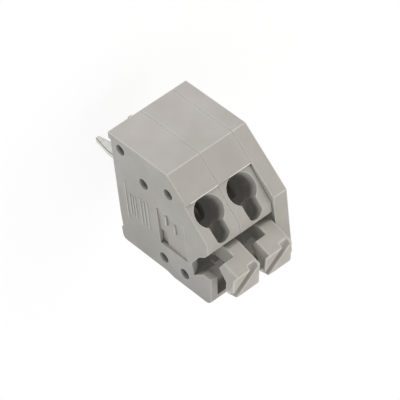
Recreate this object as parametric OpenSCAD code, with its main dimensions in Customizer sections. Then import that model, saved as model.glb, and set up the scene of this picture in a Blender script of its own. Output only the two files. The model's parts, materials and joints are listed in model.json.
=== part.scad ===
// Two-pole spring terminal block with push buttons, for a printed circuit board.
// Board plane at z = 0, pins down, wires enter from the front (-Y) and above.
// Two equal pole housings stand side by side and an end plate closes the last one.

/* [Block] */
// Width of one pole housing, which is also the pin spacing
pole_pitch = 3.5; // [3.4:0.1:5]
// Thickness of the end plate
end_plate_t = 1.5; // [1.2:0.1:3]
// Depth from the front face to the flat back
block_depth = 12.3; // [12:0.1:13.6]
// Height of the pole housings above the board
block_h = 11.6; // [11.3:0.1:12.2]
// Height of the upright front face
front_h = 7.35; // [7:0.05:7.6]
// Run of the 45 degree chamfer above the front face
front_chamfer = 2.1; // [1.9:0.1:2.3]
// Rise of the end plate above the pole housings
end_rise = 0.25; // [0.1:0.05:0.5]
// Thickness of the closed side wall of a pole housing
side_wall = 0.6; // [0.5:0.05:0.8]
// Thickness of the back wall behind the spring
back_wall = 2.55; // [2.4:0.05:2.8]
// Depth of the foot behind the button
foot_depth = 3.25; // [3.1:0.05:3.5]
// Fall of the foot's top towards the flat back
foot_drop = 0.35; // [0:0.05:0.4]
// Radius of the corner between the flat back and the top
back_corner_r = 0.8; // [0.4:0.1:0.9]
// Radius of the corner between the flat back and the board side
base_corner_r = 0.45; // [0.1:0.05:0.6]
// Depth of the hollow in the foot's top
hollow_depth = 1.3; // [0.8:0.1:1.4]
// Width of the rim behind the foot's hollow
hollow_rim = 0.9; // [0.8:0.05:1.2]
// Depth of the button's channel, between the flat top and the foot
channel_depth = 2.9; // [2.7:0.05:3]
// Thickness of the floor above the board
floor_t = 1.1; // [0.9:0.05:1.4]
// Height of the ridges that stand on the board
standoff_h = 0.25; // [0.15:0.05:0.5]
// Width of the standoff ridge at the front
front_ridge_w = 0.7; // [0.4:0.1:1.5]
// Width of the standoff ridge at the back
back_ridge_w = 1.4; // [0.8:0.1:1.8]

/* [Wire entry] */
// Rise of the entry face towards the back, in degrees
entry_slope = 40; // [38:0.5:42]
// Setback of the entry face below the lip
entry_step = 0.3; // [0.1:0.05:0.4]
// Diameter of the round wire hole
hole_d = 2.75; // [2.2:0.05:2.8]
// Distance from the lip to the middle of the wire hole
hole_from_lip = 1.4; // [1.38:0.02:1.6]
// Straight length of the wire hole
hole_len = 2.4; // [2:0.1:2.6]
// Diameter of the throat that guides the bare wire
throat_d = 2.2; // [1.5:0.1:2.4]
// Length of the cone down to the throat
throat_len = 0.6; // [0.4:0.1:0.8]
// Width of the slot that makes the wire hole a keyhole
keyhole_w = 1.45; // [1:0.05:1.7]
// Depth of the keyhole's slot below the entry face
keyhole_depth = 1.9; // [1:0.1:2]
// Thickness of the wall between the keyhole's slot and the button's channel
keyhole_web = 0.25; // [0.2:0.05:0.5]

/* [Push button] */
// Travel of a button from rest to fully pressed
button_travel = 1.1; // [0.8:0.1:1.5]
// Width of the button head
head_w = 2.9; // [2.7:0.05:3]
// Width of the neck that carries the head
neck_w = 1.35; // [1.1:0.05:1.6]
// Reach of the head above the pole housing
head_reach = 2.4; // [2.1:0.1:2.6]
// Gap between the housing and the back of the head at the neck
head_gap = 0.7; // [0.5:0.05:0.8]
// Gap between the housing and the lowest edge of the head
skirt_gap = 0.2; // [0.1:0.05:0.4]
// Height of the head's lower edge above the flat back
head_base = 1.75; // [1.5:0.05:2]
// Slope of the neck's front surface, in degrees
head_slope = 18; // [14:1:20]
// Thickness of the head at its lower edge
press_edge = 0.8; // [0.5:0.05:0.9]
// Radius of the press face's lower edge
press_r = 0.5; // [0.2:0.05:0.6]
// Gap in front of the neck inside its channel
neck_gap = 0.85; // [0.7:0.05:0.95]
// Clearance beside the sliding faces
slide_gap = 0.12; // [0.08:0.01:0.2]
// Radius of the nose that presses the spring
nose_r = 0.5; // [0.4:0.05:0.6]
// Height of the retaining lug
lug_h = 0.7; // [0.5:0.05:0.8]
// Draw-in of the head's leaning side
side_lean_w = 0.45; // [0.3:0.05:0.6]
// Drop over which the head's side leans
side_lean_h = 1.9; // [1.2:0.1:2.2]
// Radius of the head's outer corner
outer_corner_r = 1; // [0.3:0.05:1.1]
// Radius of the head's inner corner
inner_corner_r = 0.3; // [0.1:0.05:0.5]
// Width of the screwdriver slot
slot_w = 0.8; // [0.5:0.05:0.9]
// Depth of the screwdriver slot
slot_depth = 0.5; // [0.3:0.05:0.6]
// Distance from the press face's corner to the slot along both edges
slot_corner = 1.95; // [1.6:0.05:2.2]
// Width of the rim that closes the slot's inner end
slot_rim = 0.25; // [0.15:0.05:0.4]

/* [Contacts] */
// Distance from the front face to the row of pins
pin_setback = 4.7; // [4.6:0.1:4.9]
// Length of a solder pin below the board plane
pin_len = 4.1; // [3:0.1:5]
// Width of a solder pin
pin_w = 1.0; // [0.6:0.05:1.2]
// Width of a solder pin at its tip
pin_tip_w = 0.35; // [0.2:0.05:0.5]
// Length of the pin's taper
pin_taper = 1.9; // [1:0.1:2.5]
// Thickness of the current bar
bar_t = 0.5; // [0.4:0.05:0.55]
// Width of the current bar
bar_w = 2.3; // [1.8:0.1:2.5]
// Height where the current bar starts to lean
bar_bend_z = 2.4; // [1.8:0.1:3]
// Radius of the wire that the bar is set for
wire_r = 0.75; // [0.6:0.05:0.85]
// Depth of the clamping point below the throat
clamp_depth = 2.4; // [2.2:0.1:2.6]
// Thickness of the spring strip
spring_t = 0.3; // [0.2:0.05:0.4]
// Width of the spring strip
spring_w = 2.2; // [1.6:0.1:2.4]
// Middle radius of the spring's bow
bow_r = 0.9; // [0.8:0.05:1]
// Radius of the spring's lower bend
heel_r = 0.6; // [0.4:0.05:0.9]
// Slope of the clamping leg, in degrees
leg_slope = 46; // [44:1:48]

/* [Joining pegs] */
// Diameter of a joining peg
peg_d = 0.95; // [0.7:0.05:1]
// Clearance round a joining peg
peg_gap = 0.05; // [0.03:0.01:0.1]
// Depth of a joining socket
socket_depth = 0.9; // [0.6:0.05:1.1]
// Gap between a peg's end and the bottom of its socket
peg_end_gap = 0.1; // [0.05:0.01:0.3]

/* [Side wall relief] */
// Depth of the notch beside the button
notch_depth = 2.4; // [1.9:0.1:2.5]
// Reach of the notch under the foot
notch_undercut = 0.95; // [0.5:0.05:1.1]
// Height on the flat side where the tapered strip along the back ends
strip_depth = 3.25; // [2.6:0.05:3.6]
// Draw-in of the tapered strip at the flat back
strip_taper = 0.12; // [0.04:0.02:0.2]
// Height at which the strip's taper starts to run out
strip_end_z = 4.6; // [3:0.1:5]
// Deepest point of the sunk panel
panel_sink = 0.3; // [0.1:0.05:0.35]
// Depth of the small pocket in the panel's corner
pocket_sink = 0.45; // [0.36:0.01:0.5]

/* [Hidden] */
$fn = 48;
housing_colour = "#b4b0a8";
button_colour = "#afaba2";
spring_colour = "#c9cacb";
bar_colour = "#d4d5d3";

// Seat clearance between pieces that touch, and an overshoot for clean cuts
seat = 0.02;
over = 1;
arc_steps = 12;

// Side view places, as [y, z]
front_y = -pin_setback;
back_y = front_y + block_depth;
lip = [front_y + front_chamfer, front_h + front_chamfer];
along = [cos(entry_slope), sin(entry_slope)];
outward = [-sin(entry_slope), cos(entry_slope)];
entry_top = lip - entry_step * outward;
hole_c = entry_top + hole_from_lip * along;
throat_end = hole_len + throat_len;

// A place beside the wire's axis: depth below the entry face, offset towards the board
function by_wire(depth, aside) = hole_c - depth * outward - aside * along;

// Channel of the button, and the end of the entry face at the flat top in front of it
least_top = 0.3;
channel_back = back_y - foot_depth;
channel_front = channel_back - channel_depth;
entry_run = min((block_h - entry_top[1]) / along[1], (channel_front - least_top - entry_top[0]) / along[0]);
entry_end = entry_top + entry_run * along;
channel_edge = [channel_front, entry_end[1]];
cavity_back = back_y - back_wall;
foot_back_z = block_h - foot_drop;
hollow_back = back_y - hollow_rim;
clear_z = block_h + over;
keyhole_mid = (channel_edge - hole_c) * along - keyhole_web - keyhole_w / 2;

// Current bar: upright from the pin, kinked against the wire
bar_aside = wire_r + bar_t / 2;
bar_gap = 0.05;
bar_top_gap = 0.2;
bar_kink_r = 1.2;
bar_kink = by_wire(throat_end + clamp_depth, bar_aside);
bar_top = by_wire(throat_end + bar_top_gap, bar_aside);
bar_path = [[0, floor_t + seat], [0, bar_bend_z], bar_kink, bar_top];
bar_wall = -bar_t / 2 - bar_gap;
bar_wall_aside = bar_aside + bar_t / 2 + bar_gap;
bar_wall_depth = (hole_c[0] - bar_wall_aside * along[0] - bar_wall) / outward[0];

// Spring: clamping leg, bow, upright leg, heel and foot
leg_tip_gap = 0.12;
leg_tip = by_wire(throat_end + clamp_depth, wire_r - leg_tip_gap);
leg_dir = [cos(leg_slope), sin(leg_slope)];
spring_back = cavity_back - seat - spring_t / 2;
spring_floor = floor_t + seat + spring_t / 2;
bow_corner = leg_tip + leg_dir * (spring_back - leg_tip[0]) / leg_dir[0];
bow_z = bow_corner[1] - bow_r * tan(45 + leg_slope / 2);
bow_top = bow_z + bow_r + spring_t / 2;
spring_path = [
    leg_tip, bow_corner, [spring_back, spring_floor], [bar_t / 2 + bar_gap, spring_floor]
];

// Button, at rest
neck_front = max(channel_front + neck_gap, bar_kink[0] + bar_t / 2 + slide_gap);
neck_back = channel_back - slide_gap;
neck_room = neck_front - slide_gap;
neck_room_z = channel_edge[1] + (neck_room - channel_front) * outward[1] / outward[0];
button_right = pole_pitch - slide_gap;
button_left = side_wall + slide_gap;
middle_x = (button_left + button_right) / 2;
head_left = button_right - head_w;
head_back_z = block_h + head_gap;
head_top_z = block_h + head_reach;
head_top_y = neck_front + head_reach * tan(head_slope);
head_base_y = back_y - head_base;
press_back_z = block_h + button_travel + slide_gap / 2;
head_base_z = press_back_z + press_edge;
skirt_z = block_h + skirt_gap;
press_lean = atan((head_top_z - head_base_z) / (head_base_y - head_top_y));
nose_y = neck_front + nose_r;
nose_lift = (nose_r + spring_t / 2 + seat) / cos(leg_slope);
nose_z = leg_tip[1] + (nose_y - leg_tip[0]) * tan(leg_slope) + nose_lift;
nose_back = neck_front + 2 * nose_r;
bow_gap = 0.1;
lug_z = bow_top + button_travel + bow_gap;
shelf_z = lug_z + lug_h + slide_gap / 2;
lug_back = cavity_back - slide_gap;
least_shelf = 0.4;
hollow_z = max(block_h - hollow_depth, shelf_z + least_shelf);

// Joining pegs, as [y, z]
front_pegs = [[1.2, 1.4], [3.3, 4.0], [2.35, front_h - 0.2]];
back_pegs = [[1.5, 5.45], [1.5, 8.1]];
peg_places = concat(
    [for (p = front_pegs) [front_y + p[0], p[1]]],
    [for (p = back_pegs) [back_y - p[0], p[1]]]
);

// Notch in the side wall beside the button: shares of the channel's depth and of the notch's depth
notch_shoulder = [0.23, 0.23];
notch_step = [0.4, 0.54];
notch_floor = [0.9, 1];
notch_heel = 0.93;
notch_neck = 0.42;
function in_notch(p) = channel_edge + [p[0] * channel_depth, -p[1] * notch_depth];
notch = [
    [channel_front, clear_z], channel_edge,
    in_notch(notch_shoulder), in_notch(notch_step), in_notch(notch_floor),
    in_notch([1, notch_heel]) + [notch_undercut, 0], in_notch([1, notch_neck]),
    [channel_back, clear_z]
];

// Sunk panel and its pocket on the flat side, as [y, z] corners
panel_low = [front_y + 5.0, 5.35];
panel_high = [back_y - strip_depth, block_h - 2.9];
pocket_low = [panel_high[0] - 1.45, panel_low[1]];
pocket_high = [panel_high[0], panel_low[1] + 0.7];

function unit(v) = v / norm(v);
function perp(v) = [-v[1], v[0]];
function turned(v, a) = [v[0] * cos(a) - v[1] * sin(a), v[0] * sin(a) + v[1] * cos(a)];

// Arc of radius r that rounds the corner b between a and c
function corner_arc(a, b, c, r) =
    let (
        u = unit(a - b),
        w = unit(c - b),
        half = acos(u * w) / 2,
        centre = b + unit(u + w) * r / sin(half),
        start = b + u * r / tan(half) - centre,
        finish = b + w * r / tan(half) - centre,
        side = sign(start[0] * finish[1] - start[1] * finish[0])
    )
    [for (i = [0:arc_steps]) centre + turned(start, side * (180 - 2 * half) * i / arc_steps)];

// Outline of a strip of thickness t along a path, with mitred corners
function heading(p, i) = unit(p[i + 1] - p[i]);
function mitre(p, i) =
    i == 0 ? perp(heading(p, 0))
    : i == len(p) - 1 ? perp(heading(p, i - 1))
    : let (n = perp(heading(p, i - 1)) + perp(heading(p, i))) n / (n * perp(heading(p, i)));
function strip(p, t) = concat(
    [for (i = [0:len(p) - 1]) p[i] + mitre(p, i) * t / 2],
    [for (i = [len(p) - 1:-1:0]) p[i] - mitre(p, i) * t / 2]
);

// Extrudes a side view, drawn as [y, z], from x0 to x1
module slab(x0, x1) {
    translate([x0, 0, 0]) rotate([90, 0, 90]) linear_extrude(x1 - x0) children();
}

// Puts a pole, drawn with x from its closed side to its open side, in its place
module at_pole(i) {
    translate([pole_pitch * (1 - i), 0, 0]) mirror([1, 0, 0]) children();
}

// Rods along x at all the peg places
module peg_rods(x0, x1, d) {
    for (p = peg_places)
        translate([x0, p[0], p[1]]) rotate([0, 90, 0]) cylinder(h = x1 - x0, d = d);
}

// Standoff ridges: the underside between them is raised
module underside_relief() {
    slab(-over, pole_pitch + end_plate_t + over)
        polygon([
            [front_y + front_ridge_w, -over], [back_y - back_ridge_w, -over],
            [back_y - back_ridge_w, standoff_h], [front_y + front_ridge_w, standoff_h]
        ]);
}

// Side view of a pole housing
module housing_profile() {
    polygon(concat(
        [[front_y, 0], [front_y, front_h], lip, entry_top, entry_end, [channel_back, entry_end[1]]],
        [[channel_back, block_h]],
        corner_arc([channel_back, block_h], [back_y, foot_back_z], [back_y, 0], back_corner_r),
        corner_arc([back_y, foot_back_z], [back_y, 0], [front_y, 0], base_corner_r)
    ));
}

// Room inside a pole for the spring, the bar and the button
module cavity_profile() {
    polygon([
        [cavity_back, floor_t], [bar_wall, floor_t], by_wire(bar_wall_depth, bar_wall_aside),
        by_wire(throat_end, bar_wall_aside),
        by_wire(throat_end, -(neck_room - by_wire(throat_end, 0)[0]) / along[0]),
        [neck_room, neck_room_z], channel_edge, [channel_front, clear_z], [channel_back, clear_z],
        [channel_back, shelf_z], [cavity_back, shelf_z]
    ]);
}

// Hollow in the foot's top, under the head of the button
module foot_hollow_profile() {
    channel_mid = (channel_front + channel_back) / 2;
    polygon([
        [channel_mid, hollow_z], [hollow_back, hollow_z],
        [hollow_back, clear_z], [channel_mid, clear_z]
    ]);
}

// Round wire hole with its cone and throat, and the slot that makes it a keyhole
module wire_entry() {
    translate([pole_pitch / 2, hole_c[0], hole_c[1]]) rotate([entry_slope, 0, 0]) {
        translate([0, 0, -hole_len]) cylinder(h = hole_len + over, d = hole_d);
        translate([0, 0, -throat_end]) cylinder(h = throat_len, d1 = throat_d, d2 = hole_d);
        translate([0, 0, -throat_end - over]) cylinder(h = 2 * over, d = throat_d);
        translate([-keyhole_w / 2, 0, -keyhole_depth]) cube([keyhole_w, keyhole_mid, keyhole_depth + over]);
        translate([0, keyhole_mid, -keyhole_depth]) cylinder(h = keyhole_depth + over, d = keyhole_w);
    }
}

// Tapered strip along the back of the flat side, which runs out at its upper end
module side_taper() {
    strip_y = back_y - strip_depth;
    run = strip_taper * over;
    intersection() {
        translate([0, 0, -over]) linear_extrude(block_h)
            polygon([
                [0, strip_y], [strip_taper + run / strip_depth, back_y + over],
                [-over, back_y + over], [-over, strip_y]
            ]);
        translate([0, back_y + over, 0]) rotate([90, 0, 0]) linear_extrude(strip_depth + 2 * over)
            polygon([
                [2 * strip_taper, -over], [2 * strip_taper, strip_end_z],
                [0, strip_end_z + 2 * over], [-over, strip_end_z + 3 * over], [-over, -over]
            ]);
    }
}

// Panel that sinks towards one corner, and the pocket in that corner
module side_panel() {
    size = panel_high - panel_low;
    tilt = atan(panel_sink / norm(size));
    turn = atan2(size[1], size[0]);
    intersection() {
        slab(-over, side_wall) translate(panel_low) square(size);
        translate([0, panel_low[0], panel_high[1]]) rotate([-turn, 0, 0]) rotate([0, 0, -tilt])
            translate([-2 * over, 0, -block_h]) cube([2 * over, block_depth, 2 * block_h]);
    }
    slab(-over, pocket_sink) translate(pocket_low) square(pocket_high - pocket_low);
}

// One moulded pole housing
module pole_housing() {
    difference() {
        union() {
            slab(0, pole_pitch) housing_profile();
            peg_rods(pole_pitch - over, pole_pitch + socket_depth - peg_end_gap, peg_d);
        }
        slab(side_wall, pole_pitch + over) cavity_profile();
        slab(button_left, pole_pitch + over) foot_hollow_profile();
        slab(-over, side_wall + over) polygon(notch);
        wire_entry();
        peg_rods(-over, socket_depth, peg_d + 2 * peg_gap);
        underside_relief();
        side_taper();
        side_panel();
        pin_slot();
    }
}

// Slot in the floor for the solder pin
module pin_slot() {
    wide = pin_w + 2 * bar_gap;
    deep = bar_t + 2 * bar_gap;
    translate([pole_pitch / 2 - wide / 2, -deep / 2, -over]) cube([wide, deep, floor_t + 2 * over]);
}

// Plate that closes the open side of the last pole
module end_plate_body() {
    top_z = block_h + end_rise;
    chamfer_y = front_y + top_z - front_h;
    difference() {
        slab(0, end_plate_t)
            polygon(concat(
                [[front_y, 0], [front_y, front_h], [chamfer_y, top_z]],
                corner_arc([chamfer_y, top_z], [back_y, top_z], [back_y, 0], back_corner_r),
                corner_arc([back_y, top_z], [back_y, 0], [front_y, 0], base_corner_r)
            ));
        peg_rods(-over, socket_depth, peg_d + 2 * peg_gap);
        underside_relief();
    }
}

// Head of the button: a press face below a sloped top, and a skirt that dips into the notch
module button_head() {
    top_back_y = neck_front + head_gap * tan(head_slope);
    skirt_y = neck_back - press_back_z + skirt_z;
    lower_front = [head_base_y, head_base_z];
    slab(head_left, button_right)
        polygon(concat(
            [[top_back_y, head_back_z], [skirt_y, skirt_z], [neck_back, press_back_z]],
            [[head_base_y, press_back_z]],
            corner_arc([head_base_y, press_back_z], lower_front, [head_top_y, head_top_z], press_r),
            [[head_top_y, head_top_z]]
        ));
}

// Neck, retaining lug and the nose that presses the spring
module button_stem() {
    top_back_y = neck_front + head_gap * tan(head_slope);
    slab(button_right - neck_w, button_right)
        polygon([
            [neck_front, nose_z], [nose_back, nose_z], [nose_back, lug_z], [lug_back, lug_z],
            [lug_back, lug_z + lug_h], [neck_back, lug_z + lug_h], [neck_back, block_h + head_gap / 2],
            [top_back_y + head_gap, head_back_z + head_gap], [top_back_y, head_back_z],
            [neck_front, block_h]
        ]);
    slab(button_left, button_right) {
        translate([neck_front, nose_z]) square([2 * nose_r, lug_h]);
        translate([nose_y, nose_z]) circle(r = nose_r);
    }
}

// Cut that makes the head's outer side lean in towards its sloped top
module head_side_lean() {
    rise = side_lean_h / side_lean_w;
    translate([head_left, neck_front, block_h]) rotate([-head_slope, 0, 0])
        linear_extrude(2 * head_reach, center = true)
            polygon([
                [-over, side_lean_h + over * rise], [side_lean_w + over, -over * rise],
                [-over, -over * rise]
            ]);
}

// Cut that rounds an upright corner at the origin, with its sides along +x and -y
module corner_cut(r) {
    difference() {
        translate([-over, -r, 0]) cube([r + over, r + over, head_reach + over]);
        translate([r, -r, -over]) cylinder(h = head_reach + 3 * over, r = r);
    }
}

// Rounding of both lower corners of the head
module head_corners() {
    translate([head_left, head_base_y, block_h]) corner_cut(outer_corner_r);
    translate([button_right, head_base_y, block_h]) mirror([1, 0, 0]) corner_cut(inner_corner_r);
}

// Diagonal slot across the press face, open at the head's outer corner
module driver_slot() {
    slot_len = 4 * slot_corner;
    corner_x = head_left + side_lean_w;
    intersection() {
        translate([corner_x + slot_corner / 2, head_top_y, head_top_z]) rotate([-press_lean, 0, 0])
            translate([0, slot_corner / 2, 0]) rotate([0, 0, 135])
                cube([slot_len, slot_w, 2 * slot_depth], center = true);
        translate([head_left - over, front_y, block_h])
            cube([head_w - slot_rim + over, block_depth, head_reach + over]);
    }
}

// One moulded push button
module push_button() {
    difference() {
        union() {
            button_head();
            button_stem();
        }
        head_side_lean();
        head_corners();
        driver_slot();
    }
}

// One bent spring of flat steel strip
module clamp_spring() {
    path = concat(
        [spring_path[0]],
        corner_arc(spring_path[0], spring_path[1], spring_path[2], bow_r),
        corner_arc(spring_path[1], spring_path[2], spring_path[3], heel_r),
        [spring_path[3]]
    );
    slab(middle_x - spring_w / 2, middle_x + spring_w / 2) polygon(strip(path, spring_t));
}

// One stamped current bar with its solder pin
module current_bar() {
    path = concat(
        [bar_path[0]],
        corner_arc(bar_path[0], bar_path[1], bar_path[2], bar_kink_r),
        corner_arc(bar_path[1], bar_path[2], bar_path[3], bar_kink_r),
        [bar_path[3]]
    );
    slab(middle_x - bar_w / 2, middle_x + bar_w / 2) polygon(strip(path, bar_t));
    translate([pole_pitch / 2, bar_t / 2, 0]) rotate([90, 0, 0]) linear_extrude(bar_t)
        polygon([
            [-pin_w / 2, floor_t + bar_t], [-pin_w / 2, pin_taper - pin_len], [-pin_tip_w / 2, -pin_len],
            [pin_tip_w / 2, -pin_len], [pin_w / 2, pin_taper - pin_len], [pin_w / 2, floor_t + bar_t]
        ]);
}

module first_pole_housing() { color(housing_colour) at_pole(0) pole_housing(); }
module second_pole_housing() { color(housing_colour) at_pole(1) pole_housing(); }
module end_plate() { color(housing_colour) at_pole(2) end_plate_body(); }
module first_push_button() { color(button_colour) at_pole(0) push_button(); }
module second_push_button() { color(button_colour) at_pole(1) push_button(); }
module first_clamp_spring() { color(spring_colour) at_pole(0) clamp_spring(); }
module second_clamp_spring() { color(spring_colour) at_pole(1) clamp_spring(); }
module first_current_bar() { color(bar_colour) at_pole(0) current_bar(); }
module second_current_bar() { color(bar_colour) at_pole(1) current_bar(); }

first_pole_housing();
second_pole_housing();
end_plate();
first_push_button();
second_push_button();
first_clamp_spring();
second_clamp_spring();
first_current_bar();
second_current_bar();
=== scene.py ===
import json
import math

import bmesh
import bpy
from mathutils import Matrix, Vector
from mathutils.bvhtree import BVHTree


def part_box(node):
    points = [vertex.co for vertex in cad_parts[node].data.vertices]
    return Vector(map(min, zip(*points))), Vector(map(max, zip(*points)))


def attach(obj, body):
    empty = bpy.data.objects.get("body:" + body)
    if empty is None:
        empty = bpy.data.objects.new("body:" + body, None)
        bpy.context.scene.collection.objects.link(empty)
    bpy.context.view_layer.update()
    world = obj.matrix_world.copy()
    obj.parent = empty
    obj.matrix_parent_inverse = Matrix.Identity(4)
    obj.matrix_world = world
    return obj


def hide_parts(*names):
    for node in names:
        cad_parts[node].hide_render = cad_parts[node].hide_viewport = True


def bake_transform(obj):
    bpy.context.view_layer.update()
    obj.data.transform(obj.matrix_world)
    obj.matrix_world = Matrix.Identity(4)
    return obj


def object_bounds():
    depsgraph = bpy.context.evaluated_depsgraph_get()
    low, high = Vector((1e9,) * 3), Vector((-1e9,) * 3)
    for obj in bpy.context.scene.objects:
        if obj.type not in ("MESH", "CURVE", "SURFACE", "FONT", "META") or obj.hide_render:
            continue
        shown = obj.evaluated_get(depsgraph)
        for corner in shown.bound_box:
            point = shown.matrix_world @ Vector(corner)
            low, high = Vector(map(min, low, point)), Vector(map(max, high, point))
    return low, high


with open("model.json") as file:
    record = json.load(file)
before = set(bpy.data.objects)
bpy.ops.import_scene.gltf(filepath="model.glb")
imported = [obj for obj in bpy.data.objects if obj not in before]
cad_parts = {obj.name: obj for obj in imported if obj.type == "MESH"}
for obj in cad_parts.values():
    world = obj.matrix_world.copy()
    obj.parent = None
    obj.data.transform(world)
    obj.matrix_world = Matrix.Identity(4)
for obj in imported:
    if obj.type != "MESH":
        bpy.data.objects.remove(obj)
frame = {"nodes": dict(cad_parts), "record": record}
CAD_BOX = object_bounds()

# Sizes are in millimetres and angles in degrees
MM = 0.001

# Camera: a long lens, rolled so that the block seems to lie on its flat back
IMAGE_PX = 400
FOCAL_PX = 3000
SENSOR_W = 36
VIEW_AZIMUTH = 31.47
VIEW_ELEVATION = 34.99
VIEW_ROLL = 126.42
VIEW_DISTANCE = 245.85
VIEW_AIM = Vector((-0.60, 1.99, 5.90))

# Edges, as the mould and the stamping tool leave them
HOUSING_EDGE = 0.065
STRIP_EDGE = 0.03
BAR_EDGE = 0.05
EDGE_SEGMENTS = 2
EDGE_ANGLE = 12
# The buttons are softer: a fine grid, smoothed so many times, and how far in that takes an edge
BUTTON_GRID = 0.055
BUTTON_SMOOTH = 11
BUTTON_EDGE = 0.045
# A fold is a face that the rounding turned over, by the cosine to the surface it came from;
# the edges this near to one stay sharp
FOLD_TURN = 0.1
FOLD_REACH = 0.1
FOLD_AREA = 2e-5
FOLD_TRIES = 8
SHARP_ANGLE = 40
WELD = 0.0005
FLAT_ANGLE = 0.4

# Plain raised bars on the flat side, as (start and end behind the front, height over the board)
RIBS = [
    (4.7, 8.75, 1.45),
    (5.8, 8.0, 1.95), (5.8, 8.0, 2.28), (5.8, 8.0, 2.6),
    (5.4, 8.3, 3.3), (5.6, 8.1, 3.72), (5.4, 8.3, 4.15),
    (5.3, 6.2, 6.5), (5.6, 6.5, 7.55),
]
RIB_H = 0.07
RIB_W = 0.17
RIB_SINK = 0.2
RIB_EDGE = 0.03
# Thin raised strips on the lip over the wire entries, painted near-white as a highlight, at (y, z)
# and between these x
LIP_HIGHLIGHT_AT = (-2.6, 9.45)
LIP_HIGHLIGHT_W = 0.08
LIP_HIGHLIGHT_RUNS = [(0.03, 3.0), (-3.47, -1.1)]

# Moulded plastic: soft clouds, and the mould's grain of about 0.05 mm, drawn coarser to show
CLOUD_SIZE = 2.4
GRAIN_SIZE = 0.16
GRAIN_SHARE = 0.25
MOTTLE_RANGE = (0.45, 0.8)
MOTTLE_DEPTH, MOTTLE_BUMP = 0.006, 0.35
SHEEN_SPREAD = 0.06
PLASTIC_IOR = 1.53
# Painted shade and glow in its recesses: how far round a point counts, and how open it is where the
# shade begins and ends
RECESS_REACH = 3
RECESS_SAMPLES = 16
RECESS_OPEN = (0.31, 0.49)
BUTTON_OPEN = (0.15, 0.43)
EDGE_OPEN = (0.25, 0.75)
RECESS_SHADE_TONE = "#51504c"
RECESS_PAINTED_GLOW = 0.92
# Painted shade: the housing is darker from here towards its back
BACK_SHADE_Y = (3.2, 7.4)
BACK_SHADE_SHARE = 0.28

# Tin plating: the size and depth of its clouds, and its roughness
FLOW_SIZE = 0.5
FLOW_DEPTH, FLOW_BUMP = 0.01, 0.4
TIN_ROUGH = (0.22, 0.42)
# Spring strip: rolling lines about 0.02 mm apart, drawn coarser to show, and its roughness
LINE_GAP, LINE_LENGTH = 0.06, 4
STEEL_ROUGH = (0.25, 0.4)

# The surround is brighter round the front, with a dark part in it as a studio has
AMBIENT = 0.955
BRIGHT_WAY = (-0.089, -0.604, 0.38)
DARK_WAY = (0.175, -0.683, 0.709)
DARK_ANGLES = (37, 25)
DARK_SHARE = 0.02
# It is a little warmer on the left and cooler on the right
LEFT_LIGHT, RIGHT_LIGHT = "#fff9f1", "#f1f9ff"
# The floor, as it lights the block and as it shows
FLOOR_R = 1500
FLOOR_SIDES = 64
FLOOR_TONE = "#e4e4e4"
SHADE_TONE, FLOOR_GLOW = "#6a6a6a", 0.88
# A pool of light on the floor before the front: its middle, outer and inner radius, and strength
POOL_Y = -20
POOL_R = (18, 6)
POOL_TONE, POOL_GLOW = "#edeaff", 1.15

# Sockets of the colour mix node
MIX_A, MIX_B, MIX_RESULT = 6, 7, 2


def linear(code):
    """Linear colour of an sRGB hex code."""
    parts = [int(code[i : i + 2], 16) / 255 for i in (1, 3, 5)]
    return [c / 12.92 if c <= 0.04045 else ((c + 0.055) / 1.055) ** 2.4 for c in parts] + [1]


def per_metre(size):
    """Scale of a pattern with features of that size, on coordinates in metres."""
    return 1 / (size * MM)


def add_node(tree, kind, values=None, links=None, **settings):
    """Adds one node with its settings, its input values and the sockets that feed its inputs."""
    node = tree.nodes.new(kind)
    for name, value in settings.items():
        setattr(node, name, value)
    for socket, value in (values or {}).items():
        node.inputs[socket].default_value = value
    for socket, source in (links or {}).items():
        tree.links.new(source, node.inputs[socket])
    return node


def new_material(name):
    """A node material with nothing but its output."""
    material = bpy.data.materials.new(name)
    material.use_nodes = True
    material.node_tree.nodes.clear()
    return material, add_node(material.node_tree, "ShaderNodeOutputMaterial")


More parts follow.
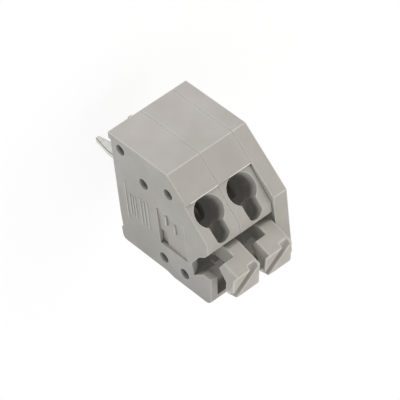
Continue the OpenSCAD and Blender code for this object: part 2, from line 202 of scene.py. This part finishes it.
def moulded_polyamide(name, pale, deep, painted_shade_tone, roughness, opening, rim=None, dull=0):
    """Polyamide from an eroded steel mould: satin, soft clouds, fine grain; painted shade and glow
    in recesses.
    """
    material, output = new_material(name)
    tree = material.node_tree
    place = add_node(tree, "ShaderNodeTexCoord").outputs["Object"]
    clouds = add_node(
        tree, "ShaderNodeTexNoise", {"Scale": per_metre(CLOUD_SIZE), "Detail": 3},
        {"Vector": place},
    ).outputs["Fac"]
    grain = add_node(
        tree, "ShaderNodeTexNoise", {"Scale": per_metre(GRAIN_SIZE), "Detail": 2}, {"Vector": place}
    ).outputs["Fac"]
    mottle = add_node(
        tree, "ShaderNodeMath", {1: GRAIN_SHARE}, {0: grain, 2: clouds}, operation="MULTIPLY_ADD"
    ).outputs[0]
    tone = add_node(
        tree, "ShaderNodeMapRange",
        {"From Min": MOTTLE_RANGE[0], "From Max": MOTTLE_RANGE[1]}, {"Value": mottle},
    ).outputs["Result"]
    open_colour = add_node(
        tree, "ShaderNodeMix", {MIX_A: linear(deep), MIX_B: linear(pale)}, {0: tone},
        data_type="RGBA",
    ).outputs[MIX_RESULT]
    if rim:
        # Painted highlight: the outer edges, as the edge attribute gives them, are paler
        edge_highlight = add_node(tree, "ShaderNodeAttribute", attribute_name="edge").outputs["Fac"]
        open_colour = add_node(
            tree, "ShaderNodeMix", {MIX_B: linear(rim)}, {0: edge_highlight, MIX_A: open_colour},
            data_type="RGBA",
        ).outputs[MIX_RESULT]
    # Painted shade, darker towards the back
    if dull:
        depth_y = add_node(tree, "ShaderNodeSeparateXYZ", links={0: place}).outputs["Y"]
        back_shade = add_node(
            tree, "ShaderNodeMapRange",
            {"From Min": BACK_SHADE_Y[0] * MM, "From Max": BACK_SHADE_Y[1] * MM, "To Max": dull},
            {"Value": depth_y},
        ).outputs["Result"]
        open_colour = add_node(
            tree, "ShaderNodeMix", {MIX_B: linear(painted_shade_tone)}, {0: back_shade, MIX_A: open_colour},
            data_type="RGBA",
        ).outputs[MIX_RESULT]
    # Painted shade: deep recesses are mixed towards the shade tone, and a faint painted glow is
    # added in them
    openness = add_node(
        tree, "ShaderNodeAmbientOcclusion", {"Distance": RECESS_REACH * MM}, samples=RECESS_SAMPLES
    ).outputs["AO"]
    painted_shade = add_node(
        tree, "ShaderNodeMapRange",
        {"From Min": opening[0], "From Max": opening[1], "To Min": 1, "To Max": 0},
        {"Value": openness}, interpolation_type="SMOOTHSTEP",
    ).outputs["Result"]
    colour = add_node(
        tree, "ShaderNodeMix", {MIX_B: linear(painted_shade_tone)}, {0: painted_shade, MIX_A: open_colour},
        data_type="RGBA",
    ).outputs[MIX_RESULT]
    # Painted glow, strongest where the recess is least open
    painted_glow = add_node(
        tree, "ShaderNodeMapRange",
        {"From Max": opening[1], "To Min": RECESS_PAINTED_GLOW, "To Max": 0}, {"Value": openness},
    ).outputs["Result"]
    sheen = add_node(
        tree, "ShaderNodeMapRange",
        {"To Min": roughness + SHEEN_SPREAD, "To Max": roughness - SHEEN_SPREAD}, {"Value": tone},
    ).outputs["Result"]
    bump = add_node(
        tree, "ShaderNodeBump", {"Strength": MOTTLE_BUMP, "Distance": MOTTLE_DEPTH * MM},
        {"Height": mottle},
    ).outputs["Normal"]
    shader = add_node(
        tree, "ShaderNodeBsdfPrincipled", {"IOR": PLASTIC_IOR, "Emission Color": linear(painted_shade_tone)},
        {"Base Color": colour, "Roughness": sheen, "Normal": bump, "Emission Strength": painted_glow},
    )
    tree.links.new(shader.outputs["BSDF"], output.inputs["Surface"])
    return material


def tinned_copper(name, dull, bright):
    """Copper strip with bright tin plating: a pale metal, slightly clouded where the tin flowed."""
    material, output = new_material(name)
    tree = material.node_tree
    place = add_node(tree, "ShaderNodeTexCoord").outputs["Object"]
    flow = add_node(
        tree, "ShaderNodeTexNoise", {"Scale": per_metre(FLOW_SIZE), "Detail": 4}, {"Vector": place}
    ).outputs["Fac"]
    colour = add_node(
        tree, "ShaderNodeMix", {MIX_A: linear(dull), MIX_B: linear(bright)}, {0: flow},
        data_type="RGBA",
    ).outputs[MIX_RESULT]
    gloss = add_node(
        tree, "ShaderNodeMapRange", {"To Min": TIN_ROUGH[0], "To Max": TIN_ROUGH[1]},
        {"Value": flow},
    ).outputs["Result"]
    bump = add_node(
        tree, "ShaderNodeBump", {"Strength": FLOW_BUMP, "Distance": FLOW_DEPTH * MM},
        {"Height": flow},
    ).outputs["Normal"]
    shader = add_node(
        tree, "ShaderNodeBsdfPrincipled", {"Metallic": 1},
        {"Base Color": colour, "Roughness": gloss, "Normal": bump},
    )
    tree.links.new(shader.outputs["BSDF"], output.inputs["Surface"])
    return material


def rolled_spring_steel(name, dull, bright):
    """Stainless spring strip: a cool grey metal with fine rolling lines along its length."""
    material, output = new_material(name)
    tree = material.node_tree
    place = add_node(tree, "ShaderNodeTexCoord").outputs["Object"]
    across, along = per_metre(LINE_GAP), per_metre(LINE_LENGTH)
    stretched = add_node(
        tree, "ShaderNodeMapping", {"Scale": (across, along, along)}, {"Vector": place}
    ).outputs["Vector"]
    lines = add_node(
        tree, "ShaderNodeTexNoise", {"Scale": 1, "Detail": 3}, {"Vector": stretched}
    ).outputs["Fac"]
    colour = add_node(
        tree, "ShaderNodeMix", {MIX_A: linear(dull), MIX_B: linear(bright)}, {0: lines},
        data_type="RGBA",
    ).outputs[MIX_RESULT]
    gloss = add_node(
        tree, "ShaderNodeMapRange", {"To Min": STEEL_ROUGH[0], "To Max": STEEL_ROUGH[1]},
        {"Value": lines},
    ).outputs["Result"]
    shader = add_node(
        tree, "ShaderNodeBsdfPrincipled", {"Metallic": 1},
        {"Base Color": colour, "Roughness": gloss},
    )
    tree.links.new(shader.outputs["BSDF"], output.inputs["Surface"])
    return material


def new_piece(name, mesh, materials):
    """A finished mesh as an object at the origin, with its materials."""
    piece = bpy.data.objects.new(name, mesh)
    bpy.context.scene.collection.objects.link(piece)
    for material in materials:
        mesh.materials.append(material)
    piece.modifiers.new("flat faces", "WEIGHTED_NORMAL").keep_sharp = True
    return piece


def finish_mesh(shape, name):
    """Closes a bmesh that is in millimetres: smooth faces, sharp creases, and metres."""
    for face in shape.faces:
        face.smooth = True
    for edge in shape.edges:
        edge.smooth = edge.calc_face_angle(0) < math.radians(SHARP_ANGLE)
    bmesh.ops.scale(shape, vec=Vector((MM, MM, MM)), verts=shape.verts)
    mesh = bpy.data.meshes.new(name)
    shape.to_mesh(mesh)
    shape.free()
    return mesh


def free_edge(edge, seams):
    """True for an outer edge that doesn't lie in a seam between two pieces."""
    if not edge.is_convex or edge.calc_face_angle(0) < math.radians(EDGE_ANGLE):
        return False
    return not any(all(abs(v.co.x - x) < WELD for v in edge.verts) for x in seams)


def round_edges(shape, numbers, radius):
    """Rounds the edges with these numbers and gives the new faces."""
    shape.edges.ensure_lookup_table()
    return bmesh.ops.bevel(
        shape, geom=[shape.edges[i] for i in sorted(numbers)], affect="EDGES", offset=radius,
        offset_type="OFFSET", segments=EDGE_SEGMENTS, profile=0.5, material=-1,
    )["faces"]


def fold_corners(shape, surface):
    """Corners of the faces that lie the wrong way round on the surface they came from."""
    bmesh.ops.triangulate(shape, faces=shape.faces[:])
    shape.normal_update()
    corners = []
    for face in shape.faces:
        outwards = surface.find_nearest(face.calc_center_median())[1]
        if face.normal.dot(outwards) < FOLD_TURN and face.calc_area() > FOLD_AREA:
            corners += [v.co.copy() for v in face.verts]
    return corners


def edges_that_round(shape, numbers, radius):
    """Those of the edges that can be rounded with no folds, found on trial copies."""
    surface = BVHTree.FromBMesh(shape)
    for _ in range(FOLD_TRIES):
        trial = shape.copy()
        round_edges(trial, numbers, radius)
        corners = fold_corners(trial, surface)
        trial.free()
        shape.edges.ensure_lookup_table()
        numbers = [
            i for i in numbers
            if not any(
                (v.co - c).length < FOLD_REACH for v in shape.edges[i].verts for c in corners
            )
        ]
        if not corners:
            break
    return numbers


def welded_copy(node):
    """A copy of a CAD node, in millimetres, with its loose triangles joined."""
    shape = bmesh.new()
    shape.from_mesh(frame["nodes"][node].data)
    for face in shape.faces:
        face.material_index = 0
    bmesh.ops.scale(shape, vec=Vector((1 / MM, 1 / MM, 1 / MM)), verts=shape.verts)
    bmesh.ops.remove_doubles(shape, verts=shape.verts, dist=WELD)
    return shape


def softened_copy(node, radius, seams=()):
    """A copy of a CAD node with its outer edges rounded; the rounded faces take material 1."""
    shape = welded_copy(node)
    bmesh.ops.dissolve_limit(
        shape, angle_limit=math.radians(FLAT_ANGLE), verts=shape.verts, edges=shape.edges
    )
    shape.edges.index_update()
    outer = [edge.index for edge in shape.edges if free_edge(edge, seams)]
    for face in round_edges(shape, edges_that_round(shape, outer, radius), radius):
        face.material_index = 1
    return finish_mesh(shape, node + "_finish")


def melted_copy(node):
    """A copy of a CAD node on a fine grid, all edges soft; outer edges have edge attribute 1."""
    shape = welded_copy(node)
    mesh = bpy.data.meshes.new(node + "_draft")
    shape.to_mesh(mesh)
    shape.free()
    draft = bpy.data.objects.new(node + "_draft", mesh)
    bpy.context.scene.collection.objects.link(draft)
    grid = draft.modifiers.new("grid", "REMESH")
    grid.mode = "VOXEL"
    grid.voxel_size = BUTTON_GRID
    shape = bmesh.new()
    shape.from_object(draft, bpy.context.evaluated_depsgraph_get())
    bpy.data.objects.remove(draft)
    sharp = [v.co.copy() for v in shape.verts]
    for _ in range(BUTTON_SMOOTH):
        bmesh.ops.smooth_vert(
            shape, verts=shape.verts, factor=0.5, use_axis_x=True, use_axis_y=True, use_axis_z=True
        )
    shape.normal_update()
    # The edge attribute carries the buttons' painted highlight
    edge = shape.verts.layers.float.new("edge")
    for v, old in zip(shape.verts, sharp):
        v[edge] = min(1, max(0, (old - v.co).dot(v.normal) / BUTTON_EDGE))
    return finish_mesh(shape, node + "_finish")


def body_of_node(node):
    """The body that a CAD node belongs to."""
    bodies = frame["record"]["behaviour"]["bodies"]
    return next(body for body, members in bodies.items() if node in members)


def dress_rigid(node, mesh, materials):
    """Replaces a rigid CAD node by its finished copy."""
    piece = new_piece(node + "_finish", mesh, materials)
    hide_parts(node)
    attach(piece, body_of_node(node))


def dress_spring(node, materials):
    """Replaces a clamp spring by a finished copy, with its place baked into its mesh."""
    piece = new_piece(node + "_finish", softened_copy(node, STRIP_EDGE), materials)
    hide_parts(node)
    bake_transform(piece)


def place_camera():
    """The camera, turned about its aim by azimuth and elevation, then rolled."""
    camera = bpy.data.cameras.new("camera")
    camera.sensor_width = SENSOR_W
    camera.lens = SENSOR_W * FOCAL_PX / IMAGE_PX
    camera.clip_start = MM
    holder = bpy.data.objects.new("camera", camera)
    bpy.context.scene.collection.objects.link(holder)
    turn = (
        Matrix.Rotation(math.radians(VIEW_AZIMUTH), 4, "Z")
        @ Matrix.Rotation(math.radians(90 - VIEW_ELEVATION), 4, "X")
        @ Matrix.Rotation(math.radians(VIEW_ROLL), 4, "Z")
    )
    reach = Matrix.Translation((0, 0, VIEW_DISTANCE * MM))
    holder.matrix_world = Matrix.Translation(VIEW_AIM * MM) @ turn @ reach
    bpy.context.scene.camera = holder


def shown_rays(tree):
    """1 for rays that show the backdrop itself: from the camera, mirrored or refracted."""
    path = add_node(tree, "ShaderNodeLightPath").outputs
    mirrored = add_node(
        tree, "ShaderNodeMath", links={0: path["Is Glossy Ray"], 1: path["Is Transmission Ray"]},
        operation="MAXIMUM",
    ).outputs[0]
    return add_node(
        tree, "ShaderNodeMath", links={0: path["Is Camera Ray"], 1: mirrored}, operation="MAXIMUM"
    ).outputs[0]


def light_world():
    """A pale surround, brighter round the front and with a dark part, that shows as white."""
    world = bpy.data.worlds.new("surround")
    world.use_nodes = True
    tree = world.node_tree
    tree.nodes.clear()
    way = add_node(tree, "ShaderNodeTexCoord").outputs["Generated"]
    bright = add_node(
        tree, "ShaderNodeVectorMath", {1: BRIGHT_WAY}, {0: way}, operation="DOT_PRODUCT"
    ).outputs["Value"]
    even = add_node(tree, "ShaderNodeMath", {1: AMBIENT}, {0: bright}, operation="ADD").outputs[0]
    inwards = add_node(
        tree, "ShaderNodeVectorMath", {1: DARK_WAY}, {0: way}, operation="DOT_PRODUCT"
    ).outputs["Value"]
    rim, core = (math.cos(math.radians(angle)) for angle in DARK_ANGLES)
    gap = add_node(
        tree, "ShaderNodeMapRange",
        {"From Min": rim, "From Max": core, "To Min": 1, "To Max": DARK_SHARE},
        {"Value": inwards}, interpolation_type="SMOOTHSTEP",
    ).outputs["Result"]
    strength = add_node(
        tree, "ShaderNodeMath", links={0: even, 1: gap}, operation="MULTIPLY"
    ).outputs[0]
    rightwards = add_node(tree, "ShaderNodeSeparateXYZ", links={0: way}).outputs["X"]
    share = add_node(
        tree, "ShaderNodeMapRange", {"From Min": -1}, {"Value": rightwards}
    ).outputs["Result"]
    tint = add_node(
        tree, "ShaderNodeMix", {MIX_A: linear(LEFT_LIGHT), MIX_B: linear(RIGHT_LIGHT)}, {0: share},
        data_type="RGBA",
    ).outputs[MIX_RESULT]
    lit = add_node(tree, "ShaderNodeBackground", links={"Color": tint, "Strength": strength})
    white = add_node(tree, "ShaderNodeBackground", {"Color": linear("#ffffff"), "Strength": 1})
    both = add_node(
        tree, "ShaderNodeMixShader",
        links={0: shown_rays(tree), 1: lit.outputs[0], 2: white.outputs[0]},
    )
    add_node(tree, "ShaderNodeOutputWorld", links={"Surface": both.outputs[0]})
    bpy.context.scene.world = world


def lay_floor():
    """A white floor under the pins that keeps the block's shadow; it is see-through from below."""
    shape = bmesh.new()
    bmesh.ops.create_circle(shape, cap_ends=True, segments=FLOOR_SIDES, radius=FLOOR_R * MM)
    bmesh.ops.translate(shape, vec=Vector((0, 0, CAD_BOX[0].z)), verts=shape.verts)
    mesh = bpy.data.meshes.new("floor")
    shape.to_mesh(mesh)
    shape.free()
    material, output = new_material("white_floor")
    tree = material.node_tree
    matt = add_node(tree, "ShaderNodeBsdfDiffuse", {"Color": linear(FLOOR_TONE)})
    place = add_node(tree, "ShaderNodeTexCoord").outputs["Object"]
    away = add_node(
        tree, "ShaderNodeVectorMath", {1: Vector((0, POOL_Y * MM, CAD_BOX[0].z))}, {0: place},
        operation="DISTANCE",
    ).outputs["Value"]
    pool = add_node(
        tree, "ShaderNodeMapRange",
        {"From Min": POOL_R[0] * MM, "From Max": POOL_R[1] * MM, "To Max": POOL_GLOW},
        {"Value": away}, interpolation_type="SMOOTHSTEP",
    ).outputs["Result"]
    lit = add_node(tree, "ShaderNodeEmission", {"Color": linear(POOL_TONE)}, {"Strength": pool})
    card = add_node(tree, "ShaderNodeAddShader", links={0: matt.outputs[0], 1: lit.outputs[0]})
    faint = add_node(tree, "ShaderNodeBsdfDiffuse", {"Color": linear(SHADE_TONE)})
    glow = add_node(tree, "ShaderNodeEmission", {"Strength": FLOOR_GLOW})
    bright = add_node(tree, "ShaderNodeAddShader", links={0: faint.outputs[0], 1: glow.outputs[0]})
    seen = add_node(
        tree, "ShaderNodeMixShader",
        links={0: shown_rays(tree), 1: card.outputs[0], 2: bright.outputs[0]},
    )
    clear = add_node(tree, "ShaderNodeBsdfTransparent")
    back = add_node(tree, "ShaderNodeNewGeometry").outputs["Backfacing"]
    both = add_node(
        tree, "ShaderNodeMixShader", links={0: back, 1: seen.outputs[0], 2: clear.outputs[0]}
    )
    tree.links.new(both.outputs[0], output.inputs["Surface"])
    mesh.materials.append(material)
    floor = bpy.data.objects.new("floor", mesh)
    bpy.context.scene.collection.objects.link(floor)


def add_bar(shape, low, high):
    """One plain bar between two corners."""
    made = bmesh.ops.create_cube(shape, size=1)["verts"]
    bmesh.ops.scale(shape, vec=high - low, verts=made)
    bmesh.ops.translate(shape, vec=(low + high) / 2, verts=made)


def raised_bars(name, shape, material):
    """Finishes bars as one piece on the housing, with soft edges."""
    bmesh.ops.bevel(
        shape, geom=shape.edges[:], affect="EDGES", offset=RIB_EDGE, offset_type="OFFSET",
        segments=EDGE_SEGMENTS, profile=0.5, material=-1,
    )
    piece = new_piece(name, finish_mesh(shape, name), [material])
    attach(piece, "block")


def side_ribs(material):
    """Plain parallel bars on the flat side."""
    shape = bmesh.new()
    face_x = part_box("first_pole_housing")[1].x / MM
    front = CAD_BOX[0].y / MM
    for start, end, z in RIBS:
        low = Vector((face_x - RIB_SINK, front + start - RIB_W / 2, z - RIB_W / 2))
        high = Vector((face_x + RIB_H, front + end + RIB_W / 2, z + RIB_W / 2))
        add_bar(shape, low, high)
    raised_bars("side_ribs", shape, material)


def lip_highlight_strips(material):
    """Thin strips along the lip over the wire entries, in a near-white tone that is a painted
    highlight.
    """
    shape = bmesh.new()
    y, z = LIP_HIGHLIGHT_AT
    half = LIP_HIGHLIGHT_W / 2
    for x0, x1 in LIP_HIGHLIGHT_RUNS:
        add_bar(shape, Vector((x0, y - half, z - half)), Vector((x1, y + half, z + half)))
    raised_bars("lip_highlight_strips", shape, material)


# Satin grey faces, edges smoother with a paler painted highlight, lip strips with a paler one still
housing = [
    moulded_polyamide(name, pale, deep, RECESS_SHADE_TONE, rough, opening, dull=BACK_SHADE_SHARE)
    for name, pale, deep, rough, opening in (
        ("grey_polyamide", "#bbb6af", "#b4afa7", 0.52, RECESS_OPEN),
        ("grey_polyamide_edge_highlight", "#d2cec5", "#c8c4bb", 0.42, EDGE_OPEN),
    )
]
lip_highlight = moulded_polyamide(
    "grey_polyamide_lip_highlight", "#f4f1ea", "#e6e3dc", RECESS_SHADE_TONE, 0.42, EDGE_OPEN
)
# A slightly warmer batch, with a paler painted highlight on its edges and painted shade in its
# recesses
button = [
    moulded_polyamide(
        "button_polyamide", "#c2bcb4", "#b8b2aa", "#4b4944", 0.5, BUTTON_OPEN, rim="#e9e4d9"
    )
]
# Bright faces, and cut edges where the copper dulls the tin
tin = [
    tinned_copper("tinned_copper", "#c2c1ba", "#e9e8e2"),
    tinned_copper("tinned_copper_edge", "#5d5b54", "#8f8d86"),
]
steel = rolled_spring_steel("rolled_spring_steel", "#9c9ea1", "#c9cbcd")
# The poles and the end plate meet in these planes
seams = [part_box(node)[0].x / MM for node in ("first_pole_housing", "second_pole_housing")]

for node in ("first_pole_housing", "second_pole_housing", "end_plate"):
    dress_rigid(node, softened_copy(node, HOUSING_EDGE, seams), housing)
for pole in ("first", "second"):
    press, bar = pole + "_push_button", pole + "_current_bar"
    dress_rigid(press, melted_copy(press), button)
    dress_rigid(bar, softened_copy(bar, BAR_EDGE), tin)
    dress_spring(pole + "_clamp_spring", [steel, steel])
# The bars take the edge material, whose paler tone is a painted highlight
side_ribs(housing[1])
lip_highlight_strips(lip_highlight)

place_camera()
light_world()
lay_floor()
bpy.context.scene.view_settings.view_transform = "Standard"
